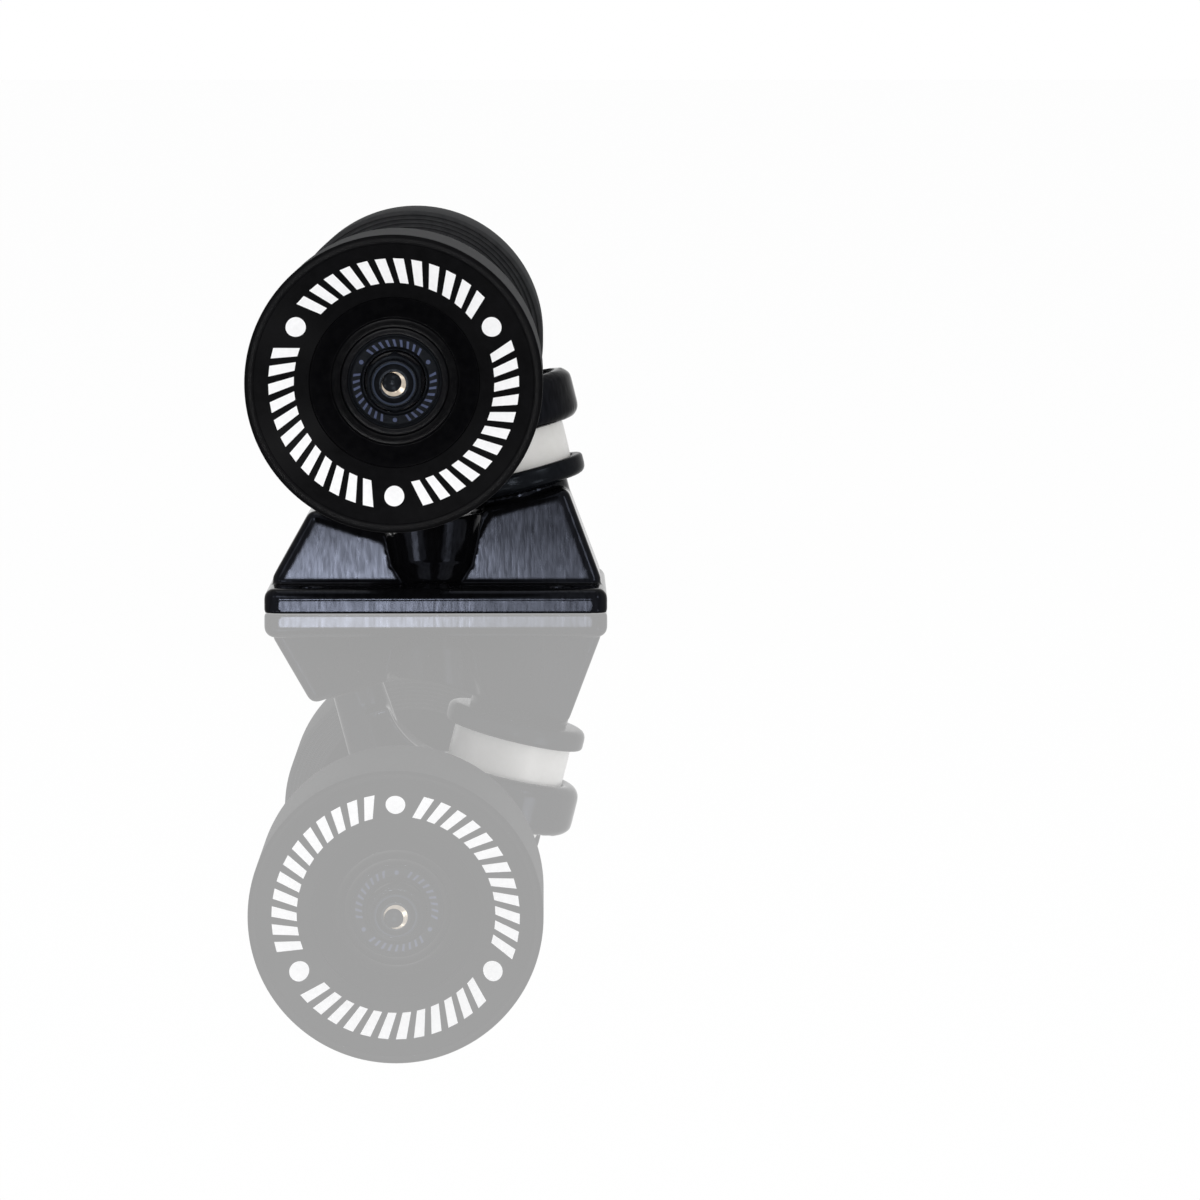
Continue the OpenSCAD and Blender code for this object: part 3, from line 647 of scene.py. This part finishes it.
def print_mesh(name, place, height, band, bars, pitch, width, slant, dot_r, lift):
    """Runs of slanted bars across a band of radii, with round dots between the runs."""
    mid = sum(band) / 2
    per_mm = 360 / (2 * math.pi * mid)
    turn = 360 / PRINT_RUNS
    bm = bmesh.new()
    for run in range(PRINT_RUNS):
        centre = 90 + turn * run
        for k in range(bars):
            at = (k - (bars - 1) / 2) * pitch
            low = [at - width / 2 - slant / 2, at + width / 2 - slant / 2]
            high = [at + width / 2 + slant / 2, at - width / 2 + slant / 2]
            outline = [(centre + s * per_mm, band[0]) for s in low]
            outline += [(centre + s * per_mm, band[1]) for s in high]
            ink_patch(bm, outline, height, lift)
        dot = [
            (centre + turn / 2 + dot_r * math.cos(t) * per_mm, mid + dot_r * math.sin(t))
            for t in (2 * math.pi * i / DOT_POINTS for i in range(DOT_POINTS))
        ]
        ink_patch(bm, dot, height, lift)
    return meshed(name, bm, place)


def core_profile():
    """The core's outer half and its mirror image, as one closed loop."""
    return fillet(CORE_HALF + [(r, -h, rounding) for r, h, rounding in reversed(CORE_HALF)])


def bearing(side, name, row, y, outwards):
    """Outer ring, inner ring and seal of one bearing, with the seal on the side that shows."""
    key = f"{name}_{row}"
    body = f"{name}_wheel"
    place = on_axle(side, y)
    if not outwards:
        place = place @ Matrix.Rotation(math.pi, 4, "X")
    half = BEARING_W / 2
    step = half - SEAL_SEAT_DEPTH
    outer = fillet([
        (BEARING_R, -half, 0.3), (BEARING_R, half, 0.35), (SEAL_SEAT_R, half, 0.15), (SEAL_SEAT_R, step),
        (OUTER_SHOULDER, step), (OUTER_SHOULDER, GROOVE_HALF), (OUTER_GROOVE_R, 0),
        (OUTER_SHOULDER, -GROOVE_HALF), (OUTER_SHOULDER, -half, 0.15),
    ])
    inner = fillet([
        (BORE_R, -half, 0.2), (INNER_SHOULDER, -half, 0.15), (INNER_SHOULDER, -GROOVE_HALF),
        (INNER_GROOVE_R, 0),
        (INNER_SHOULDER, GROOVE_HALF), (INNER_SHOULDER, half, 0.15), (BORE_R, half, 0.3),
    ])
    cover = fillet(sunk(SEAL_SECTION, half - SEAL_SINK))
    outer_mesh = lathe("outer", outer, place)
    add(f"{key}_outer_ring", outer_mesh, race_steel, body, [f"{key}_outer_race"])
    inner_mesh = lathe("inner", inner, place)
    add(f"{key}_inner_ring", inner_mesh, race_steel, "hanger", [f"{key}_inner_race"])
    add(f"{key}_seal", lathe("seal", cover, place), seal, body, [f"{key}_shield"])


def speed_washer(side, name, node, y):
    inside, outside = SPEED_WASHER_R
    profile = fillet([
        (inside, 0, 0.1), (outside, 0, 0.15),
        (outside, SPEED_WASHER_T, 0.2), (inside, SPEED_WASHER_T, 0.15),
    ])
    mesh = lathe(name, profile, on_axle(side, y), segments=64)
    add(name, mesh, race_steel, "hanger", [node])


def wheel(name, side):
    """One wheel with its print, bearings, speed washers and axle nut."""
    body = f"{name}_wheel"
    hub = on_axle(side, WHEEL_Y)
    tyre_mesh = lathe("tyre", tyre_profile(), hub, segments=160)
    tyre = add(f"{name}_tyre_turned", tyre_mesh, urethane, body, [f"{name}_tyre"])
    finished(tyre, ground_urethane, ground)
    core = lathe("core", core_profile(), hub)
    add(f"{name}_core_moulded", core, core_plastic, body, [f"{name}_wheel_core"])
    ink = print_mesh(f"{name}_print", hub, face_height, band=(20.2, 25.2), bars=12, pitch=3.32,
                     width=1.95, slant=1.5, dot_r=2.0, lift=0.06)
    add(f"{name}_print", ink, white_ink, body)
    marks = print_mesh(f"{name}_seal_marks", hub, seal_height, band=(7.1, 8.5), bars=9, pitch=1.36,
                       width=0.5, slant=0.4, dot_r=0.45, lift=0.02)
    add(f"{name}_seal_marks", marks, blue_ink, body)
    bearing(side, name, "inboard", WHEEL_Y - (SPACER + BEARING_W) / 2, False)
    bearing(side, name, "outboard", WHEEL_Y + (SPACER + BEARING_W) / 2, True)
    speed_washer(side, f"{name}_inner_speed_ring", f"{name}_inner_speed_washer", HANGER_FACE)
    speed_washer(side, f"{name}_outer_speed_ring", f"{name}_outer_speed_washer", OUTER_WASHER_Y)
    nut = broken_edges(f"{name}_axle_nut", f"{name}_axle_lock_nut", AXLE_NUT_EDGE)
    add(f"{name}_axle_lock_nut", nut, black_steel, "hanger", [f"{name}_axle_nut"])


for name, side in SIDES.items():
    wheel(name, side)

# Solids that stay as they are
for ending, finish in (("balls", steel), ("cage", nylon), ("bearing_spacer", steel), ("nut_insert", nylon)):
    for node, obj in nodes.items():
        if node.endswith(ending):
            obj.data.materials.clear()
            obj.data.materials.append(finish)

# Studio, in metres: to the rays that show them, the world is white and the floor is white and mirrors
SHOWN = ("Is Camera Ray", "Is Glossy Ray", "Is Transmission Ray")
SHOWN_LEVEL = 1.0
LIGHT_LEVEL = 0.46
WHITE = (1, 1, 1, 1)
FLOOR_COLOUR = (0.9, 0.9, 0.9, 1)
FLOOR_GLOW = 0.93
FLOOR_MIRROR = 0.65
FLOOR_SIZE = 40
FLOOR_Z = -0.0001


def shown_as(tree, kinds):
    """1 for the rays that show a background: straight from the camera, mirrored or through glass."""
    path = tree.nodes.new("ShaderNodeLightPath")
    total = path.outputs[kinds[0]]
    for kind in kinds[1:]:
        total = combined(tree, "MAXIMUM", total, path.outputs[kind])
    return total


def coloured(tree, kind, colour):
    node = tree.nodes.new(kind)
    node.inputs["Color"].default_value = colour
    return node


def mixed(tree, first, second):
    """A mix of two shaders; the share of the second one is left to set or link."""
    node = tree.nodes.new("ShaderNodeMixShader")
    tree.links.new(first.outputs[0], node.inputs[1])
    tree.links.new(second.outputs[0], node.inputs[2])
    return node


world = bpy.data.worlds.new("studio")
bpy.context.scene.world = world
world.use_nodes = True
sky = world.node_tree.nodes["Background"]
sky.inputs["Color"].default_value = WHITE
level = ranged(world.node_tree, shown_as(world.node_tree, SHOWN), (0, 1), LIGHT_LEVEL, SHOWN_LEVEL)
world.node_tree.links.new(level, sky.inputs["Strength"])

floor_mat = bpy.data.materials.new("floor_acrylic")
floor_mat.use_nodes = True
tree = floor_mat.node_tree
tree.nodes.remove(tree.nodes["Principled BSDF"])
white = coloured(tree, "ShaderNodeEmission", WHITE)
matt = coloured(tree, "ShaderNodeBsdfDiffuse", FLOOR_COLOUR)
mirror = coloured(tree, "ShaderNodeBsdfGlossy", WHITE)
mirror.inputs["Roughness"].default_value = 0.0
body_mix = mixed(tree, matt, white)
body_mix.inputs[0].default_value = FLOOR_GLOW
gloss_mix = mixed(tree, body_mix, mirror)
gloss_mix.inputs[0].default_value = FLOOR_MIRROR
ray_mix = mixed(tree, matt, gloss_mix)
tree.links.new(shown_as(tree, SHOWN), ray_mix.inputs[0])
tree.links.new(ray_mix.outputs[0], tree.nodes["Material Output"].inputs["Surface"])

bpy.ops.mesh.primitive_plane_add(size=FLOOR_SIZE, location=(0, 0, FLOOR_Z))
floor = bpy.context.object
floor.name = "floor"
floor.data.materials.append(floor_mat)

# Front lights: their spans across and upwards, named by the surfaces that mirror them
FRONT_Y = -1.5
PIVOT_PANEL_X = (-0.225, -0.02)
KINGPIN_PANEL_X = (-0.02, 0.12)
PANELS_Z = (0.144, 0.182)
PLATE_X = (-0.185, 0.12)
PLATE_Z = (0.12, 0.144)


def softbox(name, place, target, size, radiance):
    lamp = bpy.data.lights.new(name, "AREA")
    lamp.shape = "RECTANGLE"
    lamp.size, lamp.size_y = size
    lamp.energy = radiance * math.pi * size[0] * size[1]
    obj = bpy.data.objects.new(name, lamp)
    obj.location = place
    obj.rotation_euler = (Vector(target) - Vector(place)).to_track_quat("-Z", "Y").to_euler()
    bpy.context.scene.collection.objects.link(obj)


def front_light(name, across, upwards, radiance):
    """A softbox that faces the object squarely and covers a span across and a span upwards."""
    x = sum(across) / 2
    z = sum(upwards) / 2
    size = (across[1] - across[0], upwards[1] - upwards[0])
    softbox(name, (x, FRONT_Y, z), (x, 0, z), size, radiance)


front_light("key", PIVOT_PANEL_X, PANELS_Z, radiance=104)
front_light("key_side", KINGPIN_PANEL_X, PANELS_Z, radiance=17)
front_light("strip", PLATE_X, PLATE_Z, radiance=64)
softbox("fill", place=(-0.3, -1.3, 0.8), target=(0, -0.1, 0.05), size=(0.5, 0.4), radiance=6.5)
softbox("left", place=(-0.95, -0.9, 0.65), target=(0, 0, 0.04), size=(0.4, 0.4), radiance=2.5)
softbox("right", place=(0.95, -0.95, 0.5), target=(0, 0, 0.04), size=(0.4, 0.4), radiance=7.5)
softbox("top", place=(0, 0.1, 1.1), target=(0, 0, 0.03), size=(0.6, 0.6), radiance=1.5)

# Camera, with its look downwards and sideways in degrees
CAMERA_PLACE = (0.0234, -1.212, 0.1212)
CAMERA_DOWN = 5.7
CAMERA_TURN = -0.58
CAMERA_LENS = 166.0
CAMERA_SENSOR = 36

camera = bpy.data.cameras.new("camera")
camera.sensor_width = CAMERA_SENSOR
camera.lens = CAMERA_LENS
eye = bpy.data.objects.new("camera", camera)
eye.location = CAMERA_PLACE
eye.rotation_euler = (math.radians(90 - CAMERA_DOWN), 0, math.radians(CAMERA_TURN))
bpy.context.scene.collection.objects.link(eye)
bpy.context.scene.camera = eye
bpy.context.scene.view_settings.view_transform = "Standard"
